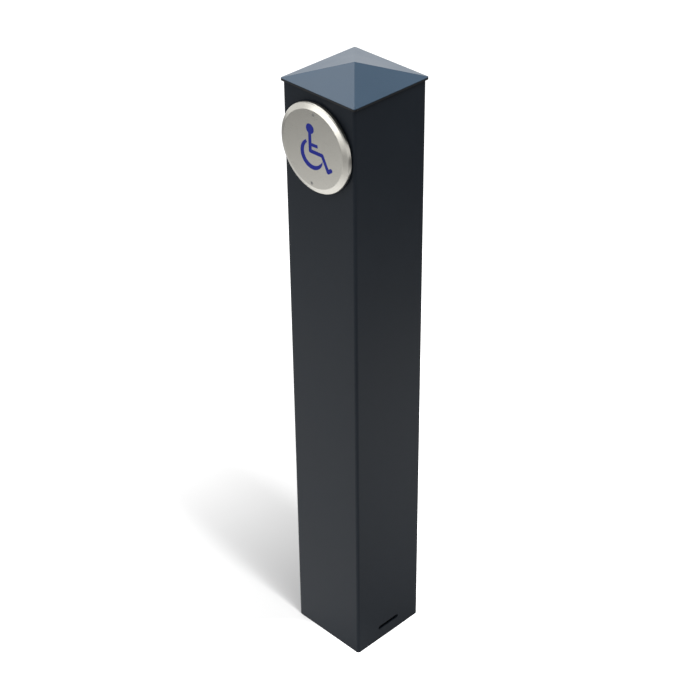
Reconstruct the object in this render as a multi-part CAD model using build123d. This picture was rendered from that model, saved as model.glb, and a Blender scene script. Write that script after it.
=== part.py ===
from build123d import *
import math
import os

# Door actuator post: a square post with a pyramid cap and a round spring-loaded push plate.
# Millimetres. The origin is the middle of the foot, on the ground. +Z is up, and the push
# plate faces -Y.

# Post tube
post_width = 152.4
post_height = 1066.8
post_wall = 3.2
post_corner = 5.0
least_corner = 0.5

# Slot low on the right face
slot_length = 50.0
slot_height = 8.0
slot_centre_height = 26.0

# Cap
cap_overhang = 2.5
cap_rim = 4.0
cap_rise = 24.5
cap_wall = 3.0
cap_corner = 3.0
cap_tip = 1.0
cap_skirt_depth = 20.0
cap_skirt_wall = 2.5
cap_skirt_clearance = 0.2
cap_lug_width = 14.0
cap_lug_depth = 9.0
cap_screw_spacing = 90.0
cap_screw_drop = 10.0

# Folded base inside the foot
base_sheet = 4.0
base_bend = 4.0
base_clearance = 0.3
base_flange_width = 100.0
base_flange_height = 50.0
base_screw_spacing = 70.0
base_screw_height = 34.0
anchor_spacing = 90.0
anchor_hole_radius = 5.5
cable_hole_radius = 30.0

# Countersunk M5 screws of the cap and the base
case_screw_radius = 2.5
case_screw_head_radius = 4.6
case_screw_length = 9.0
case_screw_socket = 3.0

# All screws: the rim of a flat head, the socket's and the round's share of the head's height
screw_land = 0.1
socket_share = 0.4
head_round_share = 0.4

# Push plate, a dish of stainless sheet
plate_drop = 84.0
plate_margin = 3.2
plate_shoulder_width = 9.0
plate_sheet = 1.6
plate_depth = 9.5
plate_shoulder_drop = 4.2
plate_shoulder_round = 2.6
plate_face_round = 4.0
plate_gap = 3.5
plate_travel = 2.5

# Face screws, their standoffs and the return springs
face_screw_inset = 6.5
face_screw_turn = 3.0
face_screw_radius = 1.5
face_screw_head_radius = 2.75
face_screw_length = 10.0
face_screw_socket = 2.0
face_screw_recess = 0.15
face_screw_gap = 0.075
standoff_radius = 3.5
standoff_barrel_radius = 2.5
standoff_height = 2.0
spring_radius = 2.7
spring_wire = 0.6
spring_turns = 3.0
spring_seat_gap = 0.05

# Gasket and back plate
gasket_thickness = 1.6
gasket_inset = 1.0
gasket_inner_radius = 41.0
back_plate_sheet = 2.0
back_plate_inset = 6.0
opening_radius = 38.0
window_width = 12.0
window_height = 20.0
window_corner = 3.0

# Back plate screws and rivet nuts, on a circle
mount_circle_inset = 8.0
mount_screw_radius = 2.0
mount_screw_head_radius = 4.0
mount_screw_head_height = 2.6
mount_screw_length = 11.0
mount_screw_socket = 2.5
rivet_nut_radius = 3.5
rivet_nut_flange_radius = 4.8
rivet_nut_flange = 0.9
rivet_nut_bulge_radius = 4.6
rivet_nut_bulge = 2.4
rivet_nut_length = 10.0

# Snap switch
switch_top = -1.5
switch_length = 27.8
switch_depth = 15.9
switch_thickness = 10.3
switch_cover_thickness = 3.0
switch_edge_round = 0.8
switch_hole_inset = 2.8
switch_hole_step_along = 22.2
switch_hole_step_deep = 10.3
switch_screw_radius = 1.5
switch_screw_head_radius = 2.75
switch_screw_head_height = 2.0
switch_screw_socket = 2.0
switch_nut_flats = 5.5
switch_nut_height = 2.4
switch_screw_end = 1.0

# Lever over the switch's plunger
lever_arm = 18.0
lever_reach = 22.5
lever_plunger_arm = 10.3
lever_sheet = 0.5
lever_width = 5.2
lever_pivot_height = 1.3
lever_pivot_inset = 2.4
lever_fork_length = 2.6
lever_ear_radius = 1.0
lever_pin_radius = 0.6
lever_pin_gap = 0.05
lever_boss_gap = 0.1

# Plunger, terminals and striker
plunger_radius = 1.3
plunger_gap = 0.075
plunger_inside = 4.2
plunger_round = 0.65
terminal_width = 4.8
terminal_sheet = 0.8
terminal_length = 7.0
terminal_pocket = 1.2
terminal_inset = 8.0
terminal_step = 7.9
terminal_hole_radius = 0.9
terminal_hole_drop = 4.2
terminal_clip = 0.8
striker_radius = 4.0
touch_gap = 0.3

# Bracket of the switch
bracket_sheet = 1.5
bracket_bend = 1.0
bracket_flange = 17.0
bracket_margin = 1.0
bracket_screw_spacing = 16.0
bracket_screw_radius = 1.5
bracket_screw_head_radius = 2.75
bracket_screw_head_height = 1.9
bracket_screw_socket = 2.0

# A screw sits in its threaded hole with this much room, and a hole clears a shank by the other
thread_gap = 0.03
shank_gap = 0.25

# How far a cut runs past the face it goes through
past = 1.0

# The rest follows from the sizes above
half_width = post_width / 2
inner_width = post_width - 2 * post_wall
inner_corner = max(post_corner - post_wall, least_corner)
plate_height = post_height - plate_drop
plate_radius = half_width - plate_margin
plate_face_radius = plate_radius - plate_shoulder_width
back_plate_radius = plate_radius - back_plate_inset
gasket_radius = back_plate_radius - gasket_inset
face_screw_offset = plate_face_radius - face_screw_inset
mount_circle_radius = back_plate_radius - mount_circle_inset
plate_front = plate_gap + plate_depth
plate_inside = plate_front - plate_sheet
back_plate_rear = gasket_thickness
back_plate_front = gasket_thickness + back_plate_sheet
standoff_top = back_plate_front + standoff_height
case_low = -lever_arm - lever_pivot_inset
pivot_level = switch_top + lever_pivot_height
lever_slope = plate_travel / lever_arm
lever_angle = math.degrees(math.atan(lever_slope))
lever_cosine = math.cos(math.atan(lever_slope))
bottom_align = (Align.CENTER, Align.CENTER, Align.MIN)

# Frames on the faces: x along the face, y up, z out of the post
front = Plane(origin=(0, -half_width, plate_height), x_dir=(1, 0, 0), z_dir=(0, -1, 0))
right = Plane(origin=(half_width, 0, slot_centre_height), x_dir=(0, 1, 0), z_dir=(1, 0, 0))
rear_top = Plane(
    origin=(0, half_width, post_height - cap_screw_drop), x_dir=(-1, 0, 0), z_dir=(0, 1, 0)
)
rear_foot = Plane(origin=(0, half_width, base_screw_height), x_dir=(-1, 0, 0), z_dir=(0, 1, 0))
left_foot = Plane(origin=(-half_width, 0, base_screw_height), x_dir=(0, -1, 0), z_dir=(-1, 0, 0))


def disc(radius, low, high):
    """A round block on the local Z axis between two levels."""
    return Pos(0, 0, low) * Cylinder(radius, high - low, align=bottom_align)


def bar(width, corner, low, high):
    """An upright square bar with rounded edges between two heights."""
    return Pos(0, 0, low) * extrude(RectangleRounded(width, width, corner), high - low)


def turned(points):
    """A solid turned about the local Z axis from points of radius and level."""
    outline = make_face(Polyline([(radius, 0, level) for radius, level in points], close=True))
    return revolve(outline, Axis.Z)


def flat_screw(radius, head_radius, length, socket_flats):
    """A countersunk screw whose head is flush with level 0 and whose shank points down."""
    cone_end = -screw_land - (head_radius - radius)
    body = turned(
        [
            (0, 0),
            (head_radius, 0),
            (head_radius, -screw_land),
            (radius, cone_end),
            (radius, -length),
            (0, -length),
        ]
    )
    socket_depth = head_radius * socket_share
    return body - extrude(RegularPolygon(socket_flats / 2, 6, major_radius=False), -socket_depth)


def flat_hole(radius, head_radius, depth):
    """The hole for a countersunk screw whose head top is at level 0, from above it down."""
    above = head_radius
    cone_end = -screw_land - (head_radius - radius)
    return turned(
        [
            (0, above),
            (head_radius, above),
            (head_radius, -screw_land),
            (radius, cone_end),
            (radius, -depth),
            (0, -depth),
        ]
    )


def pan_screw(radius, head_radius, head_height, length, socket_flats):
    """A pan head screw that bears on level 0, its shank pointing down."""
    head = disc(head_radius, 0, head_height)
    head = fillet(head.edges().group_by(Axis.Z)[-1], head_height * head_round_share)
    socket = Pos(0, 0, head_height * (1 - socket_share)) * extrude(
        RegularPolygon(socket_flats / 2, 6, major_radius=False), head_height
    )
    return head + disc(radius, -length, 0) - socket


def spread(spots, piece):
    """Copies of a piece at each spot, kept as separate solids."""
    return [Pos(x, y, 0) * piece for x, y in spots]


def cut_all(body, tools):
    """A body with every tool taken out of it."""
    for tool in tools:
        body = body - tool
    return body


def save(name, frame, pieces):
    """Places pieces from a face's frame and writes them as one node."""
    placed = [frame.location * piece for piece in pieces]
    shape = placed[0] if len(placed) == 1 else Compound(children=placed)
    export_step(shape, f"parts/{name}.step")


world = Plane.XY
pair_along = [(-cap_screw_spacing / 2, 0), (cap_screw_spacing / 2, 0)]
foot_pair = [(-base_screw_spacing / 2, 0), (base_screw_spacing / 2, 0)]
face_step_x = face_screw_offset * math.sin(math.radians(face_screw_turn))
face_step_y = face_screw_offset * math.cos(math.radians(face_screw_turn))
face_pair = [(face_step_x, face_step_y), (-face_step_x, -face_step_y)]
mount_step = mount_circle_radius * math.sqrt(0.5)
mount_spots = [(x, y) for x in (-mount_step, mount_step) for y in (-mount_step, mount_step)]


def make_post_tube():
    """The square tube with its slot, the switch opening and all screw holes."""
    tube = bar(post_width, post_corner, 0, post_height)
    tube = tube - bar(inner_width, inner_corner, -past, post_height + past)
    slot = extrude(SlotOverall(slot_length, slot_height), post_wall * 2, both=True)
    tube = tube - right.location * slot
    through = 2 * post_wall
    tube = tube - front.location * disc(opening_radius, -through, through)
    nut_hole = disc(rivet_nut_radius + thread_gap, -through, through)
    tube = cut_all(tube, [front.location * tool for tool in spread(mount_spots, nut_hole)])
    sink = flat_hole(case_screw_radius + shank_gap, case_screw_head_radius + thread_gap, through)
    tube = cut_all(tube, [rear_top.location * tool for tool in spread(pair_along, sink)])
    tube = cut_all(tube, [rear_foot.location * tool for tool in spread(foot_pair, sink)])
    return cut_all(tube, [left_foot.location * tool for tool in spread(foot_pair, sink)])


def cap_roof(width, drop):
    """The rim block and the pyramid on it, lowered by a drop."""
    low = post_height - drop
    rim = Pos(0, 0, low) * Box(width, width, cap_rim, align=bottom_align)
    foot = Pos(0, 0, low + cap_rim) * Rectangle(width, width)
    tip = Pos(0, 0, low + cap_rim + cap_rise) * Rectangle(cap_tip, cap_tip)
    return rim + loft([foot, tip], ruled=True)


def make_post_cap():
    """The cast pyramid cap: hollow roof, skirt inside the tube and two screw lugs."""
    width = post_width + 2 * cap_overhang
    top = post_height + cap_rim + cap_rise
    roof = cap_roof(width, 0) & bar(width, cap_corner, post_height, top)
    skirt_width = inner_width - 2 * cap_skirt_clearance
    skirt_foot = post_height - cap_skirt_depth
    skirt = bar(skirt_width, inner_corner, skirt_foot, post_height)
    hollow_width = skirt_width - 2 * cap_skirt_wall
    slope = math.atan(cap_rise / (width / 2))
    roof_drop = cap_wall / math.cos(slope)
    below = Pos(0, 0, skirt_foot - past) * Box(
        width, width, cap_skirt_depth + past, align=bottom_align
    )
    hollow = bar(hollow_width, inner_corner, skirt_foot - past, top) & (
        cap_roof(width, roof_drop) + below
    )
    cap = roof + skirt - hollow
    lug_low = -(cap_skirt_depth - cap_screw_drop)
    lug_out = -post_wall - cap_skirt_clearance - cap_skirt_wall / 2
    lug_in = lug_out - cap_lug_depth
    lug = Pos(0, lug_low, lug_in) * Box(
        cap_lug_width,
        cap_skirt_depth,
        cap_lug_depth,
        align=(Align.CENTER, Align.MIN, Align.MIN),
    )
    thread = disc(case_screw_radius + thread_gap, -case_screw_length - 2 * post_wall, 0)
    for spot in pair_along:
        cap = cap + rear_top.location * Pos(*spot, 0) * lug
        cap = cap - rear_top.location * Pos(*spot, 0) * thread
    return cap


def make_anchor_base():
    """The folded base: a floor with three upstands, anchor holes and the cable hole."""
    edge = inner_width / 2 - base_clearance
    bend_start = edge - base_bend - base_sheet
    floor_low_x = -bend_start
    floor = Pos((floor_low_x + edge) / 2, 0, 0) * Box(
        edge - floor_low_x, 2 * bend_start, base_sheet, align=bottom_align
    )
    corner = [
        (bend_start - past, 0),
        (edge, 0),
        (edge, base_flange_height),
        (edge - base_sheet, base_flange_height),
        (edge - base_sheet, base_sheet),
        (bend_start - past, base_sheet),
    ]
    outline = make_face(Polyline([(out, 0, up) for out, up in corner], close=True))
    outer = outline.vertices().sort_by_distance((edge, 0, 0))[0]
    outline = fillet(outer, base_bend + base_sheet)
    inner = outline.vertices().sort_by_distance((edge - base_sheet, 0, base_sheet))[0]
    outline = fillet(inner, base_bend)
    upstand = extrude(outline, base_flange_width / 2, both=True)
    base = floor
    for turn in (90, 180, -90):
        base = base + Rot(0, 0, turn) * upstand
    half_step = anchor_spacing / 2
    hole = disc(anchor_hole_radius, -past, base_sheet + past)
    for x in (-half_step, half_step):
        for y in (-half_step, half_step):
            base = base - Pos(x, y, 0) * hole
    base = base - disc(cable_hole_radius, -past, base_sheet + past)
    thread = disc(case_screw_radius + thread_gap, -post_wall * 2 - base_sheet - base_clearance, 0)
    base = cut_all(base, [rear_foot.location * tool for tool in spread(foot_pair, thread)])
    return cut_all(base, [left_foot.location * tool for tool in spread(foot_pair, thread)])


def make_push_plate():
    """The dished plate: flat face, sloped shoulder, side wall, open at the back."""
    shoulder = (plate_radius, 0, plate_front - plate_shoulder_drop)
    brow = (plate_face_radius, 0, plate_front)
    outline = make_face(
        Polyline(
            [(0, 0, plate_gap), (plate_radius, 0, plate_gap), shoulder, brow, (0, 0, plate_front)],
            close=True,
        )
    )
    outline = fillet(outline.vertices().sort_by_distance(shoulder)[0], plate_shoulder_round)
    outline = fillet(outline.vertices().sort_by_distance(brow)[0], plate_face_round)
    solid = revolve(outline, Axis.Z)
    dish = offset(solid, -plate_sheet, openings=solid.faces().sort_by(Axis.Z)[0])
    sink = Pos(0, 0, plate_front - face_screw_recess) * flat_hole(
        face_screw_radius + face_screw_gap,
        face_screw_head_radius + 2 * face_screw_gap,
        2 * plate_sheet,
    )
    return cut_all(dish, spread(face_pair, sink))


def make_spring():
    """A return spring on a standoff, from its seat to the plate's inner face."""
    low = standoff_top + spring_seat_gap + spring_wire / 2
    high = plate_inside - spring_seat_gap - spring_wire / 2
    coil = Helix((high - low) / spring_turns, high - low, spring_radius)
    wire = Plane(coil @ 0, z_dir=coil % 0) * Circle(spring_wire / 2)
    return Pos(0, 0, low) * sweep(wire, path=coil, is_frenet=True)


def make_back_plate():
    """The steel disc with the switch window, its screw holes and the standoff holes."""
    plate = disc(back_plate_radius, back_plate_rear, back_plate_front)
    window = Pos(0, 0, back_plate_rear) * extrude(
        RectangleRounded(window_width, window_height, window_corner), back_plate_sheet
    )
    plate = plate - window
    tall = back_plate_front + past
    plate = cut_all(plate, spread(mount_spots, disc(mount_screw_radius + shank_gap, 0, tall)))
    plate = cut_all(plate, spread(face_pair, disc(standoff_barrel_radius, 0, tall)))
    thread = disc(bracket_screw_radius + thread_gap, 0, tall)
    return cut_all(plate, spread(bracket_spots(), thread))


def bracket_spots():
    """The two screws that hold the bracket, on its flange."""
    x = switch_thickness / 2 + bracket_sheet + bracket_flange / 2
    y = case_low + switch_length / 2
    return [(x, y - bracket_screw_spacing / 2), (x, y + bracket_screw_spacing / 2)]


def make_gasket():
    """The foam ring, cut out round the rivet nuts."""
    ring = disc(gasket_radius, 0, gasket_thickness) - disc(gasket_inner_radius, 0, gasket_thickness)
    relief = disc(rivet_nut_flange_radius + touch_gap, 0, gasket_thickness)
    return cut_all(ring, spread(mount_spots, relief))


def make_rivet_nut():
    """A flanged insert set in the front wall, crimped behind it."""
    behind = -post_wall
    body = turned(
        [
            (0, rivet_nut_flange),
            (rivet_nut_flange_radius, rivet_nut_flange),
            (rivet_nut_flange_radius, 0),
            (rivet_nut_radius, 0),
            (rivet_nut_radius, behind),
            (rivet_nut_bulge_radius, behind),
            (rivet_nut_bulge_radius, behind - rivet_nut_bulge / 2),
            (rivet_nut_radius, behind - rivet_nut_bulge),
            (rivet_nut_radius, -rivet_nut_length),
            (0, -rivet_nut_length),
        ]
    )
    thread = disc(mount_screw_radius + thread_gap, -rivet_nut_length - past, past)
    return body - thread


def make_standoff():
    """A press-in standoff: barrel in the back plate, head in front of it."""
    barrel = disc(standoff_barrel_radius, back_plate_rear, back_plate_front)
    head = disc(standoff_radius, back_plate_front, standoff_top)
    return barrel + head - disc(face_screw_radius + thread_gap, 0, standoff_top + past)


def make_striker():
    """The stud welded behind the plate, with a round end over the lever."""
    centre = (
        pivot_level
        + lever_arm * lever_slope
        + (striker_radius + lever_sheet / 2 + touch_gap) / lever_cosine
    )
    return disc(striker_radius, centre, plate_inside) + Pos(0, 0, centre) * Sphere(striker_radius)


def switch_hole_spots():
    """The two cross holes of the switch, as height on the face and level."""
    low = (case_low + switch_hole_inset, switch_top - switch_hole_inset - switch_hole_step_deep)
    high = (low[0] + switch_hole_step_along, low[1] + switch_hole_step_deep)
    return [low, high]


def across(radius, x_low, x_high, spot):
    """A round bar along local X at a height and a level."""
    rod = Cylinder(radius, x_high - x_low, align=bottom_align)
    return Pos(x_low, spot[0], spot[1]) * Rot(0, 90, 0) * rod


def switch_slab(x_low, x_high):
    """A slice of the switch's housing between two planes across X."""
    slab = Pos(x_low, case_low, switch_top - switch_depth) * Box(
        x_high - x_low,
        switch_length,
        switch_depth,
        align=(Align.MIN, Align.MIN, Align.MIN),
    )
    slab = fillet(slab.edges().filter_by(Axis.X), switch_edge_round)
    holes = [
        across(switch_screw_radius + shank_gap, x_low - past, x_high + past, spot)
        for spot in switch_hole_spots()
    ]
    return cut_all(slab, holes)


def make_switch_case():
    """The deep half of the housing, with the lever's boss and the plunger's bore."""
    half = switch_thickness / 2
    case = switch_slab(-half, half - switch_cover_thickness)
    boss_half = lever_width / 2 - lever_sheet - lever_boss_gap
    boss_height = lever_pivot_height + lever_ear_radius
    boss = Pos(0, -lever_arm, switch_top - past) * Box(
        2 * boss_half, 2 * lever_ear_radius, boss_height + past, align=bottom_align
    )
    case = case + boss
    case = case - across(lever_pin_radius, -half, half, (-lever_arm, pivot_level))
    bore_foot = switch_top - plunger_inside - plunger_travel() - touch_gap
    bore = disc(plunger_radius + plunger_gap, bore_foot, switch_top + past)
    case = case - Pos(0, plunger_place(), 0) * bore
    return cut_all(case, [terminal_blank(number, terminal_pocket) for number in range(3)])


def plunger_place():
    """The plunger's height on the face."""
    return -lever_arm + lever_plunger_arm


def plunger_travel():
    """How far the lever pushes the plunger over the plate's whole travel."""
    return plate_travel * lever_plunger_arm / lever_arm


def make_plunger():
    """The switch's button, round ended, standing under the lever."""
    lever_under = (
        pivot_level + lever_plunger_arm * lever_slope - lever_sheet / 2 / lever_cosine
    )
    top = lever_under - touch_gap
    stem = disc(plunger_radius, switch_top - plunger_inside, top)
    stem = fillet(stem.edges().group_by(Axis.Z)[-1], plunger_round)
    return Pos(0, plunger_place(), 0) * stem


def terminal_blank(number, inside):
    """The room of one terminal, from inside the housing to the blade's end."""
    foot = switch_top - switch_depth
    place = case_low + terminal_inset + number * terminal_step
    return Pos(-terminal_sheet, place, foot - terminal_length) * Box(
        terminal_sheet, terminal_width, terminal_length + inside, align=bottom_align
    )


def make_terminal(number):
    """One blade with its wire hole and clipped end corners."""
    blade = terminal_blank(number, terminal_pocket)
    low_edges = blade.edges().filter_by(Axis.X).group_by(Axis.Z)[0]
    blade = chamfer(low_edges, terminal_clip)
    level = switch_top - switch_depth - terminal_hole_drop
    place = case_low + terminal_inset + number * terminal_step
    hole = across(terminal_hole_radius, -2 * terminal_sheet, 0, (place, level))
    return blade - hole


def make_lever():
    """The blade with two ears on the pin, raised to its rest angle."""
    blade = Pos(0, lever_fork_length, 0) * Box(
        lever_width,
        lever_reach - lever_fork_length,
        lever_sheet,
        align=(Align.CENTER, Align.MIN, Align.CENTER),
    )
    lever = blade
    for side in (-1, 1):
        ear = Pos(side * (lever_width - lever_sheet) / 2, 0, 0) * Rot(0, 90, 0) * Cylinder(
            lever_ear_radius, lever_sheet
        )
        arm = Pos(side * (lever_width - lever_sheet) / 2, 0, 0) * Box(
            lever_sheet,
            2 * lever_fork_length,
            2 * lever_ear_radius,
            align=(Align.CENTER, Align.MIN, Align.CENTER),
        )
        lever = lever + ear + arm
    lever = lever - across(lever_pin_radius + lever_pin_gap, -lever_width, lever_width, (0, 0))
    return Pos(0, -lever_arm, pivot_level) * Rot(lever_angle, 0, 0) * lever


def make_bracket():
    """The L bracket: a flange under the back plate and a web beside the switch."""
    web = switch_thickness / 2
    flange_end = web + bracket_sheet + bracket_flange
    web_end = switch_top - switch_depth
    outline = make_face(
        Polyline(
            [
                (web, 0, web_end),
                (web, 0, back_plate_rear),
                (flange_end, 0, back_plate_rear),
                (flange_end, 0, back_plate_rear - bracket_sheet),
                (web + bracket_sheet, 0, back_plate_rear - bracket_sheet),
                (web + bracket_sheet, 0, web_end),
            ],
            close=True,
        )
    )
    outer = outline.vertices().sort_by_distance((web, 0, back_plate_rear))[0]
    outline = fillet(outer, bracket_bend + bracket_sheet)
    bend_inside = (web + bracket_sheet, 0, back_plate_rear - bracket_sheet)
    outline = fillet(outline.vertices().sort_by_distance(bend_inside)[0], bracket_bend)
    length = switch_length - 2 * bracket_margin
    bracket = Pos(0, case_low + switch_length / 2, 0) * extrude(outline, length / 2, both=True)
    cross = [
        across(switch_screw_radius + shank_gap, web - past, web + bracket_sheet + past, spot)
        for spot in switch_hole_spots()
    ]
    bracket = cut_all(bracket, cross)
    hole = disc(bracket_screw_radius + shank_gap, -bracket_sheet, back_plate_rear + past)
    return cut_all(bracket, spread(bracket_spots(), hole))


def make_bracket_screws():
    """The screws up through the flange into the back plate."""
    bearing = back_plate_rear - bracket_sheet
    reach = bracket_sheet + back_plate_sheet
    screw = pan_screw(
        bracket_screw_radius,
        bracket_screw_head_radius,
        bracket_screw_head_height,
        reach,
        bracket_screw_socket,
    )
    flipped = Pos(0, 0, bearing) * Rot(180, 0, 0) * screw
    return spread(bracket_spots(), flipped)


def make_switch_screws():
    """The screws through the switch and the bracket's web."""
    web_back = switch_thickness / 2 + bracket_sheet
    length = switch_thickness / 2 + web_back + switch_nut_height + switch_screw_end
    screw = pan_screw(
        switch_screw_radius,
        switch_screw_head_radius,
        switch_screw_head_height,
        length,
        switch_screw_socket,
    )
    lying = Rot(0, -90, 0) * screw
    return [Pos(-switch_thickness / 2, *spot) * lying for spot in switch_hole_spots()]


def make_switch_nuts():
    """The nuts behind the bracket's web."""
    hexagon = RegularPolygon(switch_nut_flats / 2, 6, major_radius=False)
    nut = extrude(hexagon, switch_nut_height)
    nut = nut - disc(switch_screw_radius + thread_gap, -past, switch_nut_height + past)
    web_back = switch_thickness / 2 + bracket_sheet
    return [Pos(web_back, *spot) * Rot(0, 90, 0) * nut for spot in switch_hole_spots()]


case_screw = flat_screw(
    case_screw_radius, case_screw_head_radius, case_screw_length, case_screw_socket
)
face_screw = Pos(0, 0, plate_front - face_screw_recess) * flat_screw(
    face_screw_radius, face_screw_head_radius, face_screw_length, face_screw_socket
)
mount_screw = Pos(0, 0, back_plate_front) * pan_screw(
    mount_screw_radius,
    mount_screw_head_radius,
    mount_screw_head_height,
    mount_screw_length,
    mount_screw_socket,
)
half_switch = switch_thickness / 2
pin_half = lever_width / 2 + lever_sheet

os.makedirs("parts", exist_ok=True)
save("post_tube", world, [make_post_tube()])
save("post_cap", world, [make_post_cap()])
save("cap_screws", rear_top, spread(pair_along, case_screw))
save("anchor_base", world, [make_anchor_base()])
foot_screws = [rear_foot.location * screw for screw in spread(foot_pair, case_screw)]
foot_screws += [left_foot.location * screw for screw in spread(foot_pair, case_screw)]
save("base_screws", world, foot_screws)
save("plate_gasket", front, [make_gasket()])
save("back_plate", front, [make_back_plate()])
save("rivet_nuts", front, spread(mount_spots, make_rivet_nut()))
save("back_plate_screws", front, spread(mount_spots, mount_screw))
save("standoffs", front, spread(face_pair, make_standoff()))
save("face_screws", front, spread(face_pair, face_screw))
save("push_plate", front, [make_push_plate()])
save("plate_striker", front, [make_striker()])
for name, spot in zip(("upper", "lower"), face_pair):
    save(f"return_spring_{name}", front, spread([spot], make_spring()))
save("switch_bracket", front, [make_bracket()])
save("bracket_screws", front, make_bracket_screws())
save("switch_case", front, [make_switch_case()])
save("switch_cover", front, [switch_slab(half_switch - switch_cover_thickness, half_switch)])
save("switch_plunger", front, [make_plunger()])
save("switch_lever", front, [make_lever()])
pin = across(lever_pin_radius, -pin_half, pin_half, (-lever_arm, pivot_level))
save("lever_pin", front, [pin])
for number, name in enumerate(("closed", "open", "common")):
    save(f"terminal_{name}", front, [make_terminal(number)])
save("switch_screws", front, make_switch_screws())
save("switch_nuts", front, make_switch_nuts())
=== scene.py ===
import math

import bpy
from mathutils import Matrix, Vector


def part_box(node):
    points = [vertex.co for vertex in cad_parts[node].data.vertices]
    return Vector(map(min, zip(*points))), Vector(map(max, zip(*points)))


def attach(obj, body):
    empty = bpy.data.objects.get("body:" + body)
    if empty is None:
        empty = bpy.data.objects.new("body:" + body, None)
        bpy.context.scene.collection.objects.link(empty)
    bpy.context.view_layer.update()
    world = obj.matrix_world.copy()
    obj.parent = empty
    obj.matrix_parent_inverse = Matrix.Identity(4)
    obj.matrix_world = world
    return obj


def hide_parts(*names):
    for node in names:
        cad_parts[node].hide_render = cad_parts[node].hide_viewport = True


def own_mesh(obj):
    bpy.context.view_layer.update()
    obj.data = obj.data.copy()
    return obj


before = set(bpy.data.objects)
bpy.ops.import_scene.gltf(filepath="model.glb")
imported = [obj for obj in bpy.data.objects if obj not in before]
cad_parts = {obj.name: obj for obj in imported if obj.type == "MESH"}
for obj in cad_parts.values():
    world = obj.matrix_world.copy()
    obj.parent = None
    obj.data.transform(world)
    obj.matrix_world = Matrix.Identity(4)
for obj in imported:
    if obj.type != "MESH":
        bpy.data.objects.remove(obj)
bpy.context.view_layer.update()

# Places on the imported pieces, in metres
tube_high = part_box("post_tube")[1]
plate_low, plate_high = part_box("push_plate")
half_width = tube_high.x
rim_height = 0.004
rim_top = tube_high.z + rim_height
# Up to this height the cap's upright rim is painted darker than its sloped top: painted shade
# where less light falls on the sides
rim_painted_shade_fade = (rim_top - 0.0012, rim_top - 0.0002)
plate_face_y = plate_low.y
plate_middle = (plate_low + plate_high) / 2

# The springs' wire and coils
spring_wire_radius = 0.0003
spring_wire_sides = 12
spring_turns = 3
spring_steps_per_turn = 28

# The figure printed on the plate: x to the right and z up from the plate's middle. Its strokes'
# corners are rounded by a share of their width.
print_thickness = 0.00005
head_middle = (-0.0049, 0.0328)
head_radius = 0.0083
head_sides = 48
back_line = [(-0.0054, 0.0250), (-0.0049, -0.0036)]
arm_line = [(-0.0050, 0.0074), (0.0085, 0.0081)]
seat_line = [(-0.0049, -0.0036), (0.0206, -0.0032)]
shin_line = [(0.0206, -0.0032), (0.0330, -0.0262)]
foot_line = [(0.0330, -0.0262), (0.0388, -0.0217)]
stroke = 0.0066
arm_stroke = 0.0056
round_corner = 0.48
square_corner = 0.12
corner_steps = 8

# The figure's wheel: a ring between two circles, from one angle to another in degrees. Over the
# last of them, the taper, it narrows to its tip, and the outer edge takes its share of that.
wheel_middle = (-0.0016, -0.0087)
wheel_radius = 0.0247
wheel_hole_middle = (0.0008, -0.0064)
wheel_hole_radius = 0.0194
wheel_start = 120
wheel_end = 351
wheel_taper = 30
wheel_tip_share = 0.02
wheel_outer_share = 0.4
wheel_inner_row = 0.5
wheel_steps = 64

# The camera, from the photograph's corner points
camera_azimuth = math.radians(45.61)
camera_elevation = math.radians(33.86)
camera_roll = math.radians(-0.57)
camera_place = Vector((1.670, -1.650, 2.156))
camera_pixels = 1713.0
photo_width = 700.0
film_width = 36.0

# Directions on the floor, seen from the camera
to_the_right = (0.7071, 0.7071, 0.0)
to_the_front = (0.7071, -0.7071, 0.0)
to_the_back = (-0.7071, 0.7071, 0.0)

# The floor, and its reflectance by distance from the post: painted shade that darkens it away from
# the post, where light falls off
floor_size = 16
floor_drop = 0.0002
painted_falloff_span = (0.35, 2.3)
painted_falloff_near = 0.86
painted_falloff_far = 0.25

# The floor's glow for the camera: faint in the shadow, and full far away, in front of the post
# and to its right
shadow_glow = 0.055
shadow_span = (0.1, 1.55)
front_span = (0.0, 0.09)
right_span = (0.02, 0.1)

# Painted reflections, which only gloss sees: the floor's glow by distance to the right, within a
# band through the post, painted shade on the floor to the right, and a glow further back and at
# the horizon
floor_sheen = [
    (-2.5, 0.0),
    (-2.0, 0.0),
    (-1.78, 0.5),
    (-1.4, 0.66),
    (-0.9, 0.48),
    (-0.4, 0.34),
    (-0.1, 0.3),
    (0.1, 0.22),
    (0.5, 0.75),
    (0.9, 0.85),
    (1.3, 0.3),
    (1.7, 0.0),
    (2.7, 0.0),
]
sheen_reach = 3.0
sheen_band_span = (0.35, 1.0)
sheen_outside_band = 0.3
mirrored_painted_shade = 0.08
mirrored_painted_shade_share = 0.75
mirrored_painted_shade_span = (-0.15, 0.1)
back_floor_glow = 1.22
back_floor_span = (1.8, 3.2)
horizon_glow = 0.9
horizon_span = (2.8, 5.5)

# The surround: its plain light, and what gloss sees of it by how far up or back a direction
# points, from 0 to 1
surround_light = 0.3
sky_span = (0.05, 0.6)
sky_glow = 0.3
back_wall_span = (0.3, 0.8)
back_wall_glow = 1.22
back_wall_height = (0.4, 0.9)
back_wall_top = 0.3
overhead_span = (0.8, 0.97)
overhead_glow = 1.35


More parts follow.
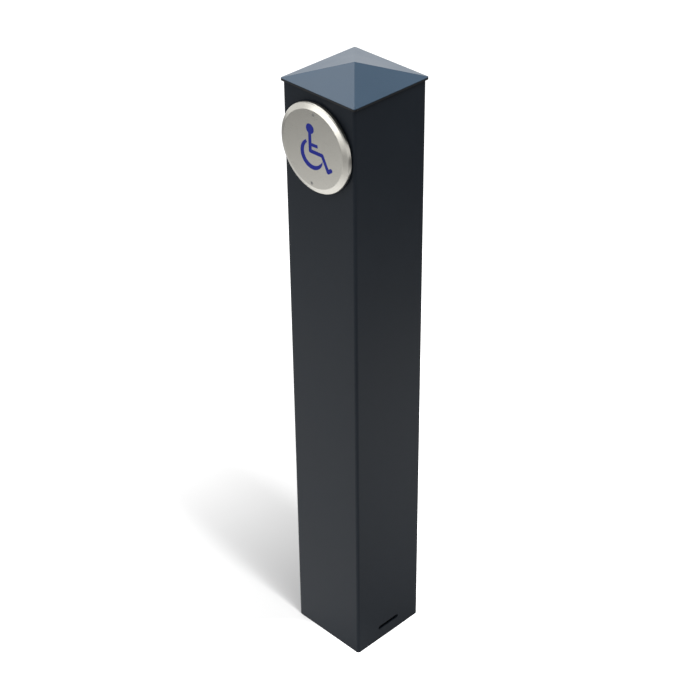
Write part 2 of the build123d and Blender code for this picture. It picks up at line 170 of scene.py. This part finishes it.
def set_camera():
    """The camera at the photograph's place, angle and focal length."""
    data = bpy.data.cameras.new("photo_camera")
    data.sensor_width = film_width
    data.lens = camera_pixels / photo_width * film_width
    data.clip_start = 0.05
    data.clip_end = 60.0
    camera = bpy.data.objects.new("photo_camera", data)
    bpy.context.scene.collection.objects.link(camera)
    level_reach = math.cos(camera_elevation)
    back = Vector(
        (
            math.sin(camera_azimuth) * level_reach,
            -math.cos(camera_azimuth) * level_reach,
            math.sin(camera_elevation),
        )
    )
    right = Vector((math.cos(camera_azimuth), math.sin(camera_azimuth), 0))
    up = back.cross(right)
    level = Matrix((right, up, back)).transposed()
    camera.matrix_world = (level @ Matrix.Rotation(camera_roll, 3, "Z")).to_4x4()
    camera.location = camera_place
    bpy.context.scene.camera = camera


def set_light(name, place, aim, size, power):
    """A rectangular soft light that points from its place to its aim."""
    data = bpy.data.lights.new(name, "AREA")
    data.shape = "RECTANGLE"
    data.size, data.size_y = size
    data.energy = power
    lamp = bpy.data.objects.new(name, data)
    bpy.context.scene.collection.objects.link(lamp)
    lamp.location = place
    lamp.rotation_euler = (Vector(aim) - Vector(place)).to_track_quat("-Z", "Y").to_euler()
    return lamp


# Shader steps, which take sockets and give the socket of their result

def ramp(tree, value, span=(0.0, 1.0), start=0.0, end=1.0):
    """A smooth change from start to end as a value goes through a span."""
    node = tree.nodes.new("ShaderNodeMapRange")
    node.interpolation_type = "SMOOTHSTEP"
    node.inputs["From Min"].default_value = span[0]
    node.inputs["From Max"].default_value = span[1]
    node.inputs["To Min"].default_value = start
    node.inputs["To Max"].default_value = end
    tree.links.new(value, node.inputs["Value"])
    return node.outputs["Result"]


def number(tree, operation, first, second=None):
    """One number worked out from one or two others."""
    node = tree.nodes.new("ShaderNodeMath")
    node.operation = operation
    tree.links.new(first, node.inputs[0])
    if second is not None:
        tree.links.new(second, node.inputs[1])
    return node.outputs["Value"]


def vector_step(tree, operation, first, second=None):
    """A vector changed by an operation, and by a second vector where it needs one."""
    node = tree.nodes.new("ShaderNodeVectorMath")
    node.operation = operation
    tree.links.new(first, node.inputs[0])
    if second is not None:
        tree.links.new(second, node.inputs[1])
    return node.outputs["Vector"]


def distance(tree, place):
    """How far a place is from the middle."""
    node = tree.nodes.new("ShaderNodeVectorMath")
    node.operation = "LENGTH"
    tree.links.new(place, node.inputs[0])
    return node.outputs["Value"]


def along(tree, place, direction):
    """How far a place lies along a direction."""
    node = tree.nodes.new("ShaderNodeVectorMath")
    node.operation = "DOT_PRODUCT"
    node.inputs[1].default_value = direction
    tree.links.new(place, node.inputs[0])
    return node.outputs["Value"]


def split(tree, vector):
    """The x, y and z of a vector."""
    node = tree.nodes.new("ShaderNodeSeparateXYZ")
    tree.links.new(vector, node.inputs["Vector"])
    return node.outputs["X"], node.outputs["Y"], node.outputs["Z"]


def noise(tree, place, scale, detail, roughness, distortion=0.0):
    """A cloudy pattern, whose scale is a number or a socket."""
    node = tree.nodes.new("ShaderNodeTexNoise")
    tree.links.new(place, node.inputs["Vector"])
    if isinstance(scale, bpy.types.NodeSocket):
        tree.links.new(scale, node.inputs["Scale"])
    else:
        node.inputs["Scale"].default_value = scale
    node.inputs["Detail"].default_value = detail
    node.inputs["Roughness"].default_value = roughness
    node.inputs["Distortion"].default_value = distortion
    return node.outputs["Fac"]


def mix_colours(tree, factor, first, second):
    """A colour between two others, each of them a colour or a socket."""
    node = tree.nodes.new("ShaderNodeMix")
    node.data_type = "RGBA"
    ends = [socket for socket in node.inputs if socket.type == "RGBA"]
    for end, colour in zip(ends, (first, second)):
        if isinstance(colour, bpy.types.NodeSocket):
            tree.links.new(colour, end)
        else:
            end.default_value = (*colour, 1)
    tree.links.new(factor, node.inputs["Factor"])
    return next(socket for socket in node.outputs if socket.type == "RGBA")


def bump(tree, height, shader, strength, depth):
    """A bump from a height into a shader's normal."""
    node = tree.nodes.new("ShaderNodeBump")
    node.inputs["Strength"].default_value = strength
    node.inputs["Distance"].default_value = depth
    tree.links.new(height, node.inputs["Height"])
    tree.links.new(node.outputs["Normal"], shader.inputs["Normal"])


# Effects that more than one material uses

def new_group(name, inputs, outputs):
    """An empty shader group with named number or vector sockets."""
    tree = bpy.data.node_groups.new(name, "ShaderNodeTree")
    for label, kind, value in inputs:
        socket = tree.interface.new_socket(name=label, in_out="INPUT", socket_type=kind)
        if value is not None:
            socket.default_value = value
    for label in outputs:
        tree.interface.new_socket(name=label, in_out="OUTPUT", socket_type="NodeSocketFloat")
    entry = tree.nodes.new("NodeGroupInput").outputs
    leave = tree.nodes.new("NodeGroupOutput").inputs
    return tree, entry, leave


def make_powder_skin():
    """The fine orange peel and soft cloudiness of baked powder coat."""
    tree, entry, leave = new_group(
        "powder_skin",
        [("Vector", "NodeSocketVector", None), ("Peel Scale", "NodeSocketFloat", 900.0)],
        ["Height", "Tone", "Cloud"],
    )
    place = entry["Vector"]
    peel = noise(tree, place, scale=entry["Peel Scale"], detail=2.0, roughness=0.45)
    cloud = noise(tree, place, scale=7.0, detail=3.0, roughness=0.55)
    speck = noise(tree, place, scale=2600.0, detail=1.0, roughness=0.5)
    tree.links.new(peel, leave["Height"])
    tree.links.new(ramp(tree, speck, span=(0.35, 0.65)), leave["Tone"])
    tree.links.new(ramp(tree, cloud, span=(0.3, 0.7)), leave["Cloud"])
    return tree


def make_drawn_grain():
    """The fine straight lines that a belt or a drawing die leaves in metal."""
    tree, entry, leave = new_group(
        "drawn_grain",
        [("Vector", "NodeSocketVector", None), ("Stretch", "NodeSocketVector", (1, 1, 1))],
        ["Height", "Tone"],
    )
    place = vector_step(tree, "MULTIPLY", entry["Vector"], entry["Stretch"])
    lines = noise(tree, place, scale=1.0, detail=3.0, roughness=0.6)
    bands = noise(tree, place, scale=0.18, detail=2.0, roughness=0.5)
    tree.links.new(lines, leave["Height"])
    tree.links.new(ramp(tree, bands, span=(0.3, 0.7)), leave["Tone"])
    return tree


def make_corner_rub():
    """A mask of the upright corners of a square piece, broken up by a noise."""
    tree, entry, leave = new_group(
        "corner_rub",
        [("Vector", "NodeSocketVector", None), ("Half Width", "NodeSocketFloat", half_width)],
        ["Mask"],
    )
    across, deep, _ = split(tree, vector_step(tree, "ABSOLUTE", entry["Vector"]))
    nearer = number(tree, "MINIMUM", across, deep)
    inset = number(tree, "SUBTRACT", entry["Half Width"], nearer)
    band = ramp(tree, inset, span=(0.0010, 0.0045), start=1.0, end=0.0)
    chips = noise(tree, entry["Vector"], scale=60.0, detail=4.0, roughness=0.6)
    broken = ramp(tree, chips, span=(0.35, 0.62), start=0.35)
    tree.links.new(number(tree, "MULTIPLY", band, broken), leave["Mask"])
    return tree


def make_touch_film():
    """The faint smears that hands leave on bare metal."""
    tree, entry, leave = new_group(
        "touch_film", [("Vector", "NodeSocketVector", None)], ["Mask"]
    )
    smear = noise(
        tree, entry["Vector"], scale=38.0, detail=4.0, roughness=0.62, distortion=0.6
    )
    tree.links.new(ramp(tree, smear, span=(0.42, 0.68)), leave["Mask"])
    return tree


powder_skin = make_powder_skin()
drawn_grain = make_drawn_grain()
corner_rub = make_corner_rub()
touch_film = make_touch_film()


# Materials

speck_lightness = 1.25


def start_material(name, metallic, roughness, specular=0.5):
    """A material with its tree, its Principled shader and the socket of object coordinates."""
    material = bpy.data.materials.new(name)
    material.use_nodes = True
    tree = material.node_tree
    shader = tree.nodes["Principled BSDF"]
    shader.inputs["Metallic"].default_value = metallic
    shader.inputs["Roughness"].default_value = roughness
    shader.inputs["Specular IOR Level"].default_value = specular
    place = tree.nodes.new("ShaderNodeTexCoord").outputs["Object"]
    return material, tree, shader, place


def place_group(tree, group, place):
    """A shared effect in a material, read at object coordinates."""
    node = tree.nodes.new("ShaderNodeGroup")
    node.node_tree = group
    tree.links.new(place, node.inputs["Vector"])
    return node


def make_powder_coat(name, dark, pale, gloss, specular, rim_painted_shade=None):
    """Satin powder coat: close colours, orange peel, rubbed corners and painted shade on a cap's
    rim.
    """
    material, tree, shader, place = start_material(
        name, metallic=0.0, roughness=0.4, specular=specular
    )
    skin = place_group(tree, powder_skin, place)
    skin.inputs["Peel Scale"].default_value = 700.0
    rub = place_group(tree, corner_rub, place)
    speck_colour = tuple(part * speck_lightness for part in pale)
    specks = ramp(tree, skin.outputs["Tone"], end=0.35)
    coat = mix_colours(tree, skin.outputs["Cloud"], dark, pale)
    coat = mix_colours(tree, specks, coat, speck_colour)
    # Painted shade: below the rim's top the coat turns dark, for the light that falls less on the
    # upright rim than on the sloped top
    if rim_painted_shade:
        above_rim = ramp(tree, split(tree, place)[2], rim_painted_shade_fade)
        coat = mix_colours(tree, above_rim, rim_painted_shade, coat)
    tree.links.new(coat, shader.inputs["Base Color"])
    satin = ramp(tree, skin.outputs["Cloud"], start=gloss[0], end=gloss[1])
    polish = ramp(tree, rub.outputs["Mask"], end=0.08)
    tree.links.new(number(tree, "SUBTRACT", satin, polish), shader.inputs["Roughness"])
    bump(tree, skin.outputs["Height"], shader, strength=0.12, depth=0.0002)
    return material


def make_metal(name, dark, pale, gloss, stretch, relief, film=0.0):
    """Bare metal with a drawn grain and, where hands reach it, a faint film."""
    material, tree, shader, place = start_material(name, metallic=1.0, roughness=0.3)
    grain = place_group(tree, drawn_grain, place)
    grain.inputs["Stretch"].default_value = stretch
    smears = place_group(tree, touch_film, place)
    colour = mix_colours(tree, grain.outputs["Tone"], dark, pale)
    tree.links.new(colour, shader.inputs["Base Color"])
    satin = ramp(
        tree, grain.outputs["Height"], span=(0.25, 0.75), start=gloss[0], end=gloss[1]
    )
    dulling = ramp(tree, smears.outputs["Mask"], end=film)
    tree.links.new(number(tree, "ADD", satin, dulling), shader.inputs["Roughness"])
    bump(tree, grain.outputs["Height"], shader, strength=relief, depth=0.0001)
    return material


def make_plastic(name, dark, pale, roughness):
    """Moulded plastic with a spark eroded skin."""
    material, tree, shader, place = start_material(name, metallic=0.0, roughness=roughness)
    skin = place_group(tree, powder_skin, place)
    skin.inputs["Peel Scale"].default_value = 2400.0
    colour = mix_colours(tree, skin.outputs["Tone"], dark, pale)
    tree.links.new(colour, shader.inputs["Base Color"])
    satin = ramp(
        tree, skin.outputs["Cloud"], start=roughness - 0.05, end=roughness + 0.08
    )
    tree.links.new(satin, shader.inputs["Roughness"])
    bump(tree, skin.outputs["Height"], shader, strength=0.25, depth=0.00005)
    return material


def make_foam():
    """Black closed cell foam with small open cells on its cut edge."""
    material, tree, shader, place = start_material(
        "foam", metallic=0.0, roughness=0.85, specular=0.3
    )
    cells = tree.nodes.new("ShaderNodeTexVoronoi")
    cells.inputs["Scale"].default_value = 1800.0
    tree.links.new(place, cells.inputs["Vector"])
    depth = ramp(tree, cells.outputs["Distance"], span=(0.0, 0.5))
    dark, pale = (0.006, 0.006, 0.006), (0.03, 0.03, 0.031)
    colour = mix_colours(tree, depth, dark, pale)
    tree.links.new(colour, shader.inputs["Base Color"])
    bump(tree, cells.outputs["Distance"], shader, strength=0.6, depth=0.0002)
    return material


def make_print_ink():
    """Blue screen print, a little uneven in its cover."""
    material, tree, shader, place = start_material(
        "print_ink", metallic=0.0, roughness=0.45, specular=0.2
    )
    cover = noise(tree, place, scale=420.0, detail=3.0, roughness=0.6)
    even = ramp(tree, cover, span=(0.3, 0.7))
    dark, pale = (0.010, 0.018, 0.26), (0.016, 0.027, 0.34)
    colour = mix_colours(tree, even, dark, pale)
    tree.links.new(colour, shader.inputs["Base Color"])
    satin = ramp(tree, even, start=0.4, end=0.52)
    tree.links.new(satin, shader.inputs["Roughness"])
    bump(tree, cover, shader, strength=0.15, depth=0.00003)
    return material


post_coat = make_powder_coat(
    "post_coat",
    dark=(0.0148, 0.0192, 0.0258),
    pale=(0.0166, 0.0216, 0.0290),
    gloss=(0.38, 0.41),
    specular=0.112,
)
# The cap's coat: lighter and bluer on its sloped top, with its upright rim painted dark as painted
# shade from the light above
cap_coat = make_powder_coat(
    "cap_coat",
    dark=(0.029, 0.057, 0.092),
    pale=(0.033, 0.063, 0.102),
    gloss=(0.30, 0.36),
    specular=0.38,
    rim_painted_shade=(0.012, 0.013, 0.015),
)
dark_screw = make_metal(
    "dark_screw",
    dark=(0.06, 0.06, 0.065),
    pale=(0.09, 0.09, 0.095),
    gloss=(0.35, 0.5),
    stretch=(900, 900, 900),
    relief=0.1,
)
satin_stainless = make_metal(
    "satin_stainless",
    dark=(0.588, 0.573, 0.524),
    pale=(0.598, 0.583, 0.534),
    gloss=(0.27, 0.29),
    stretch=(160, 5200, 5200),
    relief=0.002,
    film=0.01,
)
face_screw_steel = make_metal(
    "face_screw_steel",
    dark=(0.34, 0.34, 0.33),
    pale=(0.44, 0.44, 0.42),
    gloss=(0.3, 0.42),
    stretch=(2500, 2500, 2500),
    relief=0.1,
)
zinc_steel = make_metal(
    "zinc_steel",
    dark=(0.50, 0.51, 0.53),
    pale=(0.62, 0.62, 0.60),
    gloss=(0.28, 0.42),
    stretch=(420, 420, 420),
    relief=0.08,
)
# Zinc coat on the anchor base, darker than the other zinc parts: partly a duller galvanised
# finish, partly painted shade so the post's slot looks dark
dull_zinc_and_slot_shade = make_metal(
    "dull_zinc_and_slot_shade",
    dark=(0.13, 0.13, 0.135),
    pale=(0.20, 0.20, 0.21),
    gloss=(0.5, 0.62),
    stretch=(120, 120, 120),
    relief=0.08,
)
spring_steel = make_metal(
    "spring_steel",
    dark=(0.46, 0.46, 0.47),
    pale=(0.56, 0.56, 0.57),
    gloss=(0.22, 0.32),
    stretch=(3000, 400, 3000),
    relief=0.05,
)
contact_brass = make_metal(
    "contact_brass",
    dark=(0.66, 0.52, 0.27),
    pale=(0.74, 0.60, 0.33),
    gloss=(0.26, 0.38),
    stretch=(900, 900, 5200),
    relief=0.08,
)
switch_plastic = make_plastic(
    "switch_plastic", dark=(0.012, 0.012, 0.013), pale=(0.022, 0.022, 0.024), roughness=0.5
)
button_plastic = make_plastic(
    "button_plastic", dark=(0.34, 0.022, 0.018), pale=(0.42, 0.032, 0.026), roughness=0.42
)
foam = make_foam()
print_ink = make_print_ink()


def dress(material, *nodes):
    """Gives CAD nodes a material through their slots."""
    for node in nodes:
        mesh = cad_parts[node].data
        mesh.materials.clear()
        mesh.materials.append(material)


dress(post_coat, "post_tube")
dress(cap_coat, "post_cap")
dress(dark_screw, "cap_screws", "base_screws")
dress(satin_stainless, "push_plate")
dress(face_screw_steel, "face_screws")
# The anchor base shows through the post's slot, and its darker zinc is partly painted shade
dress(dull_zinc_and_slot_shade, "anchor_base")
dress(
    zinc_steel,
    "back_plate",
    "back_plate_screws",
    "rivet_nuts",
    "standoffs",
    "plate_striker",
    "switch_bracket",
    "bracket_screws",
    "switch_screws",
    "switch_nuts",
)
dress(spring_steel, "return_spring_upper", "return_spring_lower", "switch_lever", "lever_pin")
dress(foam, "plate_gasket")
dress(switch_plastic, "switch_case", "switch_cover")
dress(button_plastic, "switch_plunger")
dress(contact_brass, "terminal_closed", "terminal_open", "terminal_common")


# Modelling

def start_clean():
    """Nothing selected, so that the next operator acts only on what it adds."""
    bpy.ops.object.select_all(action="DESELECT")


def settle(piece, name):
    """Names a piece and moves its place into its mesh."""
    piece.name = name
    piece.data.name = name
    start_clean()
    piece.select_set(True)
    bpy.context.view_layer.objects.active = piece
    bpy.ops.object.transform_apply(location=True, rotation=True, scale=True)
    return piece


def finish_piece(piece, material, body):
    """Gives a piece its material and body."""
    piece.data.materials.clear()
    piece.data.materials.append(material)
    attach(piece, body)


def face_point(x, z):
    """A point on the plate's face."""
    return Vector((plate_middle.x + x, plate_face_y, plate_middle.z + z))


def raise_outline():
    """Gives the flat shape that is being edited the print's thickness, out of the plate."""
    bpy.ops.mesh.select_all(action="SELECT")
    bpy.ops.mesh.extrude_region_move(TRANSFORM_OT_translate={"value": (0, -print_thickness, 0)})
    bpy.ops.mesh.select_all(action="SELECT")
    bpy.ops.mesh.normals_make_consistent(inside=False)
    bpy.ops.object.mode_set(mode="OBJECT")


def print_disc(middle, radius):
    """A round spot of the print."""
    start_clean()
    bpy.ops.mesh.primitive_circle_add(
        vertices=head_sides,
        radius=radius,
        fill_type="NGON",
        location=face_point(*middle),
        rotation=(math.radians(90), 0, 0),
    )
    bpy.ops.object.transform_apply(location=True, rotation=True, scale=True)
    bpy.ops.object.mode_set(mode="EDIT")
    raise_outline()
    return bpy.context.active_object


def print_bar(line, width, corner):
    """A straight stroke of the print between two points, with its corners rounded."""
    (x1, z1), (x2, z2) = line
    length = math.hypot(x2 - x1, z2 - z1)
    start_clean()
    bpy.ops.mesh.primitive_plane_add(
        size=1,
        location=face_point((x1 + x2) / 2, (z1 + z2) / 2),
        rotation=(math.radians(90), 0, 0),
    )
    piece = bpy.context.active_object
    piece.scale = (length + width, width, 1)
    piece.rotation_euler = (
        Matrix.Rotation(-math.atan2(z2 - z1, x2 - x1), 3, "Y")
        @ Matrix.Rotation(math.radians(90), 3, "X")
    ).to_euler()
    bpy.ops.object.transform_apply(location=True, rotation=True, scale=True)
    bpy.ops.object.mode_set(mode="EDIT")
    bpy.ops.mesh.select_all(action="SELECT")
    bpy.ops.mesh.bevel(
        offset=width * corner,
        offset_type="OFFSET",
        segments=corner_steps,
        affect="VERTICES",
    )
    raise_outline()
    return piece


def weld_print(pieces):
    """One outline from overlapping strokes."""
    whole = pieces[0]
    for other in pieces[1:]:
        start_clean()
        whole.select_set(True)
        bpy.context.view_layer.objects.active = whole
        union = whole.modifiers.new("join_stroke", "BOOLEAN")
        union.operation = "UNION"
        union.solver = "EXACT"
        union.object = other
        bpy.ops.object.modifier_apply(modifier=union.name)
        bpy.data.objects.remove(other)
    return whole


def spin_wheel(middle):
    """A flat ring around a middle, with one row of points on each of its two edges."""
    start_angle = math.radians(wheel_start)
    out = Vector((math.cos(start_angle), 0, math.sin(start_angle)))
    start_clean()
    bpy.ops.mesh.primitive_plane_add(size=0.001, location=(0, 0, 0))
    piece = bpy.context.active_object
    bpy.ops.object.mode_set(mode="EDIT")
    bpy.ops.mesh.select_all(action="SELECT")
    bpy.ops.mesh.merge(type="CENTER")
    bpy.ops.transform.translate(value=middle + out * wheel_radius * wheel_inner_row)
    outward = out * wheel_radius * (1 - wheel_inner_row)
    bpy.ops.mesh.extrude_region_move(TRANSFORM_OT_translate={"value": outward})
    bpy.ops.mesh.select_all(action="SELECT")
    bpy.ops.mesh.spin(
        steps=wheel_steps,
        angle=math.radians(wheel_end - wheel_start),
        center=middle,
        axis=(0, 1, 0),
        use_auto_merge=False,
    )
    bpy.ops.mesh.select_all(action="SELECT")
    bpy.ops.mesh.remove_doubles(threshold=0.00001)
    bpy.ops.object.mode_set(mode="OBJECT")
    return piece


def make_wheel():
    """The figure's wheel, whose inner edge is a circle of its own and whose end narrows."""
    middle = face_point(*wheel_middle)
    shift = face_point(*wheel_hole_middle) - middle
    piece = spin_wheel(middle)
    between_rows = wheel_radius * (1 + wheel_inner_row) / 2
    for vertex in piece.data.vertices:
        spoke = vertex.co - middle
        ray = spoke.normalized()
        nearest = shift.dot(ray)
        hole = nearest + math.sqrt(nearest**2 - shift.length_squared + wheel_hole_radius**2)
        full_width = wheel_radius - hole
        angle = math.degrees(math.atan2(spoke.z, spoke.x)) % 360
        taper_left = max(min((wheel_end - angle) / wheel_taper, 1), wheel_tip_share)
        width = full_width * math.sin(taper_left * math.pi / 2)
        spine = wheel_radius - full_width * wheel_outer_share
        if spoke.length < between_rows:
            vertex.co = middle + ray * (spine - width * (1 - wheel_outer_share))
        else:
            vertex.co = middle + ray * (spine + width * wheel_outer_share)
    bpy.ops.object.mode_set(mode="EDIT")
    raise_outline()
    return piece


def make_figure():
    """The printed figure: head, body and limbs in one outline, and the wheel."""
    lines = (back_line, seat_line, shin_line, foot_line)
    limbs = [print_bar(line, stroke, round_corner) for line in lines]
    arm = print_bar(arm_line, arm_stroke, square_corner)
    head = print_disc(head_middle, head_radius)
    figure = settle(weld_print([*limbs, arm, head]), "printed_figure")
    finish_piece(figure, print_ink, "plate")
    wheel = settle(make_wheel(), "printed_wheel")
    finish_piece(wheel, print_ink, "plate")


def make_spring(node, name):
    """A coil spring with flat ends."""
    low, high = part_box(node)
    middle = (low + high) / 2
    radius = (high.x - low.x) / 2 - spring_wire_radius
    length = high.y - low.y
    start_clean()
    bpy.ops.mesh.primitive_circle_add(
        vertices=spring_wire_sides,
        radius=spring_wire_radius,
        fill_type="NGON",
        location=(radius, 0, 0),
        rotation=(math.radians(90), 0, 0),
    )
    bpy.ops.object.transform_apply(location=True, rotation=True, scale=True)
    coil = bpy.context.active_object
    screw = coil.modifiers.new("wind", "SCREW")
    screw.axis = "Z"
    screw.angle = math.radians(360) * spring_turns
    screw.screw_offset = length - 2 * spring_wire_radius
    screw.steps = spring_steps_per_turn * spring_turns
    screw.render_steps = screw.steps
    bpy.ops.object.modifier_apply(modifier=screw.name)
    bpy.ops.object.mode_set(mode="EDIT")
    bpy.ops.mesh.select_all(action="SELECT")
    bpy.ops.mesh.remove_doubles(threshold=0.000001)
    bpy.ops.mesh.select_all(action="DESELECT")
    bpy.ops.mesh.select_non_manifold()
    bpy.ops.mesh.edge_face_add()
    bpy.ops.mesh.select_all(action="SELECT")
    bpy.ops.mesh.normals_make_consistent(inside=False)
    bpy.ops.object.mode_set(mode="OBJECT")
    coil.rotation_euler = (math.radians(90), 0, 0)
    coil.location = (middle.x, high.y - spring_wire_radius, middle.z)
    settle(coil, name)
    bpy.ops.object.shade_smooth_by_angle(angle=math.radians(40))
    finish_piece(coil, spring_steel, "post")
    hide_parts(node)
    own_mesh(coil)


# Floor and surround

def floor_seen(tree, away, forward, rightward):
    """The floor's glow for the camera: faint where the shadow falls, and full elsewhere."""
    lit = ramp(tree, away, shadow_span, start=shadow_glow)
    front = ramp(tree, forward, front_span)
    right = ramp(tree, rightward, right_span)
    return number(tree, "MAXIMUM", lit, number(tree, "MAXIMUM", front, right))


def floor_painted_reflection(tree, away, forward, rightward, backward):
    """Painted reflections: the floor's glow in what the post's faces mirror."""
    scaled = tree.nodes.new("ShaderNodeMapRange")
    scaled.inputs["From Min"].default_value = -sheen_reach
    scaled.inputs["From Max"].default_value = sheen_reach
    tree.links.new(rightward, scaled.inputs["Value"])
    sheen = tree.nodes.new("ShaderNodeValToRGB")
    tree.links.new(scaled.outputs["Result"], sheen.inputs["Fac"])
    stops = sheen.color_ramp.elements
    while len(stops) > 1:
        stops.remove(stops[0])
    for index, (spot, value) in enumerate(floor_sheen):
        share = spot / (2 * sheen_reach) + 0.5
        stop = stops[0] if index == 0 else stops.new(share)
        stop.position = share
        stop.color = (value, value, value, 1)
    aside = number(tree, "ABSOLUTE", forward)
    narrow = ramp(tree, aside, sheen_band_span, start=1.0, end=sheen_outside_band)
    band = number(tree, "MULTIPLY", sheen.outputs["Color"], narrow)
    back = ramp(tree, backward, back_floor_span, end=back_floor_glow)
    horizon = ramp(tree, away, horizon_span, end=horizon_glow)
    return number(tree, "MAXIMUM", band, number(tree, "MAXIMUM", back, horizon))


def make_floor_material():
    """A pale floor, white for the camera, with painted falloff shade and painted reflections."""
    material, tree, shader, place = start_material(
        "studio_floor", metallic=0.0, roughness=0.9, specular=0.1
    )
    shader.inputs["Emission Color"].default_value = (1, 1, 1, 1)
    path = tree.nodes.new("ShaderNodeLightPath").outputs
    away = distance(tree, place)
    forward = along(tree, place, to_the_front)
    rightward = along(tree, place, to_the_right)
    backward = along(tree, place, to_the_back)
    # Painted shade: the floor darkens with distance from the post, as light falling off would
    # darken it
    shade = ramp(tree, away, painted_falloff_span)
    colour = mix_colours(tree, shade, (painted_falloff_near,) * 3, (painted_falloff_far,) * 3)
    # Painted shade in reflections: to the right, gloss sees a darker floor than the camera does
    dimming = ramp(tree, rightward, mirrored_painted_shade_span, end=mirrored_painted_shade_share)
    dimmed = number(tree, "MULTIPLY", path["Is Glossy Ray"], dimming)
    colour = mix_colours(tree, dimmed, colour, (mirrored_painted_shade,) * 3)
    tree.links.new(colour, shader.inputs["Base Color"])
    seen = floor_seen(tree, away, forward, rightward)
    # Painted reflection: this glow is seen only in gloss, never by the camera
    mirrored = floor_painted_reflection(tree, away, forward, rightward, backward)
    glow = number(
        tree,
        "ADD",
        number(tree, "MULTIPLY", path["Is Camera Ray"], seen),
        number(tree, "MULTIPLY", path["Is Glossy Ray"], mirrored),
    )
    tree.links.new(glow, shader.inputs["Emission Strength"])
    return material


def make_floor():
    """A pale floor that keeps the post's shadow and runs out to white, with painted shade away
    from the post.
    """
    start_clean()
    bpy.ops.mesh.primitive_plane_add(size=floor_size, location=(0, 0, -floor_drop))
    floor = bpy.context.active_object
    bpy.ops.object.mode_set(mode="EDIT")
    bpy.ops.mesh.select_all(action="SELECT")
    bpy.ops.mesh.subdivide(number_cuts=3)
    bpy.ops.object.mode_set(mode="OBJECT")
    settle(floor, "studio_floor")
    floor.data.materials.append(make_floor_material())


def make_world():
    """White for the camera, dim as plain light, and for gloss a pale ring, wall and ceiling."""
    world = bpy.data.worlds.new("studio")
    bpy.context.scene.world = world
    world.use_nodes = True
    tree = world.node_tree
    background = tree.nodes["Background"]
    background.inputs["Color"].default_value = (1, 1, 1, 1)
    direction = tree.nodes.new("ShaderNodeTexCoord").outputs["Generated"]
    path = tree.nodes.new("ShaderNodeLightPath").outputs
    upward = split(tree, direction)[2]
    sky = ramp(tree, upward, sky_span, start=1.0, end=sky_glow)
    backward = along(tree, direction, to_the_back)
    back = ramp(tree, backward, back_wall_span, end=back_wall_glow)
    fading = ramp(tree, upward, back_wall_height, start=1.0, end=back_wall_top)
    wall = number(tree, "MULTIPLY", back, fading)
    overhead = ramp(tree, upward, overhead_span, end=overhead_glow)
    surround = number(tree, "MAXIMUM", number(tree, "MAXIMUM", sky, wall), overhead)
    light = tree.nodes.new("ShaderNodeMix")
    light.inputs["A"].default_value = surround_light
    tree.links.new(surround, light.inputs["B"])
    tree.links.new(path["Is Glossy Ray"], light.inputs["Factor"])
    seen = number(tree, "MAXIMUM", path["Is Camera Ray"], light.outputs["Result"])
    tree.links.new(seen, background.inputs["Strength"])


set_camera()
make_world()
make_floor()
make_figure()
for end in ("upper", "lower"):
    make_spring(f"return_spring_{end}", f"coil_{end}")

top_strip = set_light(
    "top_strip", place=(1.15, -0.22, 4.6), aim=(1.15, -0.22, 0.0), size=(2.3, 0.3), power=139.0
)
top_strip.visible_glossy = False
set_light(
    "front_box", place=(-1.1, -2.85, 1.4), aim=(0.0, -0.08, 0.98), size=(2.5, 1.0), power=13.5
)
set_light(
    "key_box", place=(-1.2, -2.0, 3.2), aim=(0.0, 0.0, 1.0), size=(1.6, 1.6), power=22.0
)
set_light(
    "left_top_box", place=(-1.66, 0.45, 3.3), aim=(0.0, 0.0, 1.09), size=(1.8, 1.8), power=18.0
)

bpy.context.scene.view_settings.view_transform = "Standard"
